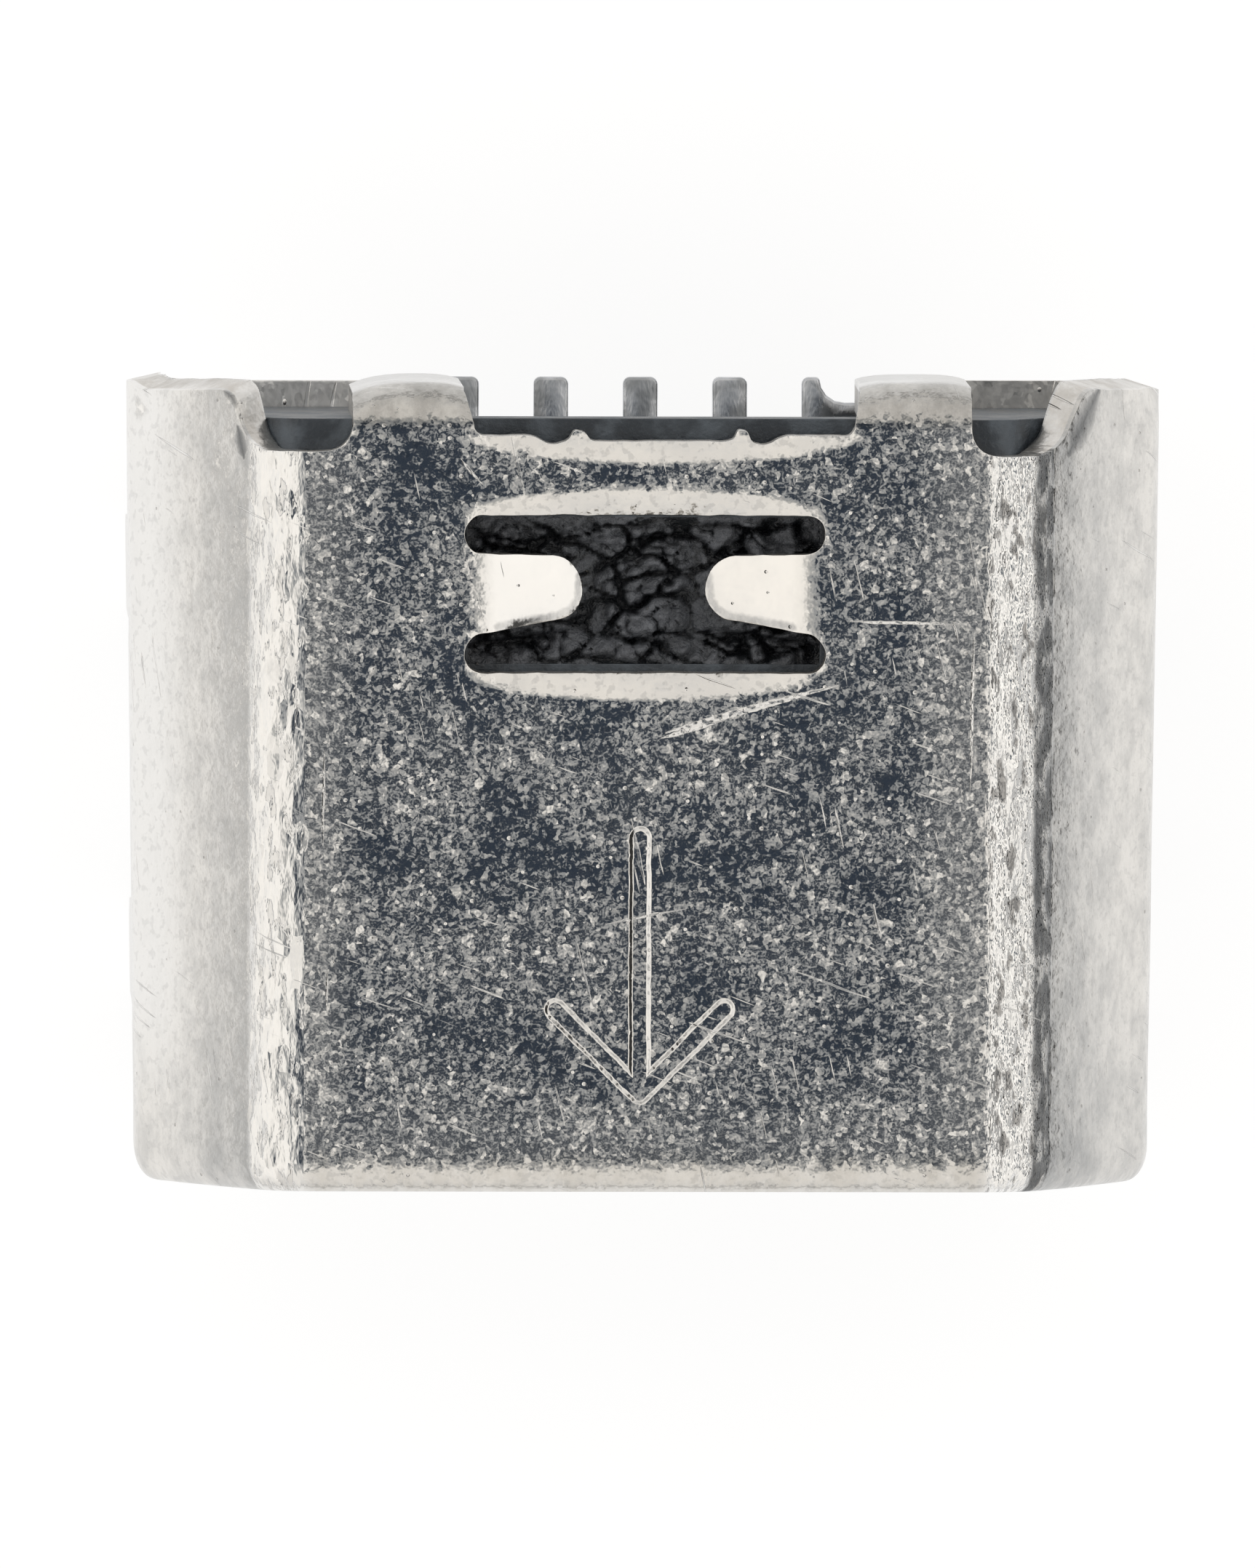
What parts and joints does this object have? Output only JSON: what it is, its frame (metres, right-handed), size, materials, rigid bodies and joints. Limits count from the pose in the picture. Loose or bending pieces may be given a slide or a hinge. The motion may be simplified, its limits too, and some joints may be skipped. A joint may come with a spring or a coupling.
{
  "type": "micro usb socket",
  "caption": "Small five-contact charging and data socket: folded metal shell with board legs, black insulator and bent contacts.",
  "frame": {"origin": "on the board's surface, in the middle of the shell's length and width", "axes": "+Z away from the board, the plug goes in along +Y through the mouth at -Y, the contact tails leave at +Y, +X across"},
  "size_m": [0.0074, 0.0058, 0.0033],
  "materials": {
    "nickel_plate": "nickel plated sheet, satin with a fine grain",
    "black_moulding": "matte black moulding",
    "contact_plating": "satin plated strip"
  },
  "bodies": {
    "root": {"shell": "nickel_plate", "insulator": "black_moulding", "power_contact": "contact_plating", "data_minus_contact": "contact_plating", "data_plus_contact": "contact_plating", "id_contact": "contact_plating", "ground_contact": "contact_plating"}
  },
  "joints": []
}
